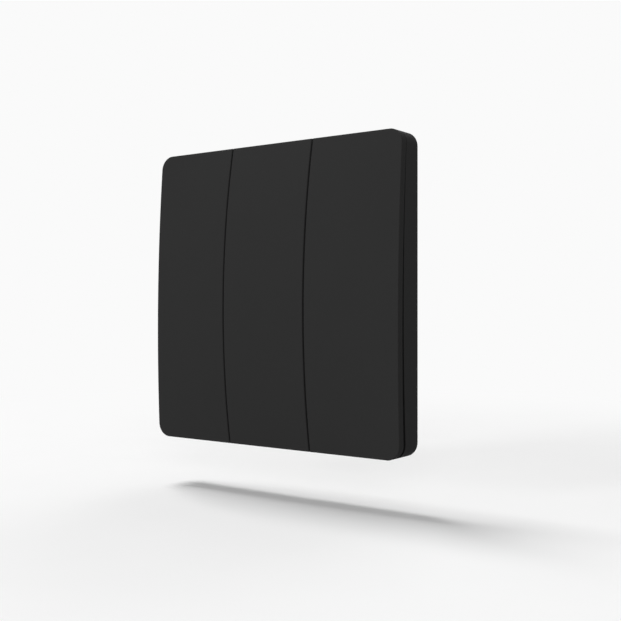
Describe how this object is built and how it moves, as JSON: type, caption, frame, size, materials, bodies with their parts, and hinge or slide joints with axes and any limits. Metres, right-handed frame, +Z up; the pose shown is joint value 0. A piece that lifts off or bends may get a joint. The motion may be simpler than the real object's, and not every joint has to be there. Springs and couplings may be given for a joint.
{
  "type": "wireless remote wall switch",
  "caption": "Square battery-powered wireless wall switch with crowned black rocker keys side by side, housing tray, coin cell inside and a pull-off wall plate.",
  "frame": {"origin": "centre of the wall face, at the middle of the back of the wall plate", "axes": "+Y into the wall, so the keys face -Y; +Z up; +X to the right seen from the front"},
  "size_m": [0.086, 0.0126, 0.086],
  "materials": {
    "key_plastic": "fine matte moulded texture",
    "housing_plastic": "fine matte moulded texture",
    "plate_plastic": "satin moulded",
    "lid_plastic": "satin moulded",
    "carrier_plastic": "satin moulded",
    "foam_pad": "closed-cell foam with a smooth liner",
    "cell_steel": "turned nickel-plated can",
    "contact_metal": "nickel-plated spring strip",
    "board_laminate": "green solder mask",
    "screw_steel": "zinc plated",
    "cover_steel": "satin steel",
    "terminal_metal": "tinned",
    "chip_resin": "moulded resin",
    "crystal_can": "nickel plated can",
    "antenna_metal": "tinned strip",
    "capacitor_resin": "moulded resin",
    "chip_ceramic": "fired ceramic",
    "resistor_film": "coated film",
    "switch_plastic": "moulded resin",
    "plunger_plastic": "moulded resin"
  },
  "bodies": {
    "wall_mount": {"wall_plate": "plate_plastic", "adhesive_pads": "foam_pad"},
    "switch": {"rear_housing": "housing_plastic", "coin_cell": "cell_steel", "battery_contact_positive": "contact_metal", "battery_contact_negative": "contact_metal", "circuit_board": "board_laminate", "board_screws": "screw_steel", "key_carrier": "carrier_plastic", "carrier_screws": "screw_steel", "switch_covers": "cover_steel", "switch_terminals": "terminal_metal", "radio_chip": "chip_resin", "crystal": "crystal_can", "antenna": "antenna_metal", "bulk_capacitor": "capacitor_resin", "chip_capacitors": "chip_ceramic", "chip_resistors": "resistor_film", "left_switch_body": "switch_plastic", "middle_switch_body": "switch_plastic", "right_switch_body": "switch_plastic"},
    "battery_lid": {"battery_lid": "lid_plastic"},
    "left_key": {"left_key": "key_plastic"},
    "left_plunger": {"left_switch_plunger": "plunger_plastic"},
    "middle_key": {"middle_key": "key_plastic"},
    "middle_plunger": {"middle_switch_plunger": "plunger_plastic"},
    "right_key": {"right_key": "key_plastic"},
    "right_plunger": {"right_switch_plunger": "plunger_plastic"}
  },
  "joints": [
    {"name": "switch_lift_off", "type": "slide", "parent": "wall_mount", "child": "switch", "axis": [0, -1, 0], "range_m": [0, 0.012]},
    {"name": "battery_lid_turn", "type": "hinge", "parent": "switch", "child": "battery_lid", "pos_m": [0, 0, -0.0215], "axis": [0, 1, 0], "range_deg": [0, 35]},
    {"name": "left_key_tilt", "type": "hinge", "parent": "switch", "child": "left_key", "pos_m": [-0.02867, -0.0046, 0.038], "axis": [1, 0, 0], "range_deg": [0, 0.55], "stiffness_Nm_per_rad": 3, "springref_deg": -1.15},
    {"name": "left_plunger_press", "type": "slide", "parent": "switch", "child": "left_plunger", "axis": [0, 1, 0], "range_m": [0, 0.0004]},
    {"name": "middle_key_tilt", "type": "hinge", "parent": "switch", "child": "middle_key", "pos_m": [0, -0.0046, 0.038], "axis": [1, 0, 0], "range_deg": [0, 0.55], "stiffness_Nm_per_rad": 3, "springref_deg": -1.15},
    {"name": "middle_plunger_press", "type": "slide", "parent": "switch", "child": "middle_plunger", "axis": [0, 1, 0], "range_m": [0, 0.0004]},
    {"name": "right_key_tilt", "type": "hinge", "parent": "switch", "child": "right_key", "pos_m": [0.02867, -0.0046, 0.038], "axis": [1, 0, 0], "range_deg": [0, 0.55], "stiffness_Nm_per_rad": 3, "springref_deg": -1.15},
    {"name": "right_plunger_press", "type": "slide", "parent": "switch", "child": "right_plunger", "axis": [0, 1, 0], "range_m": [0, 0.0004]}
  ],
  "couplings": [
    {"joint": "left_plunger_press", "follows": "left_key_tilt", "m_per_rad": 0.038},
    {"joint": "middle_plunger_press", "follows": "middle_key_tilt", "m_per_rad": 0.038},
    {"joint": "right_plunger_press", "follows": "right_key_tilt", "m_per_rad": 0.038}
  ]
}
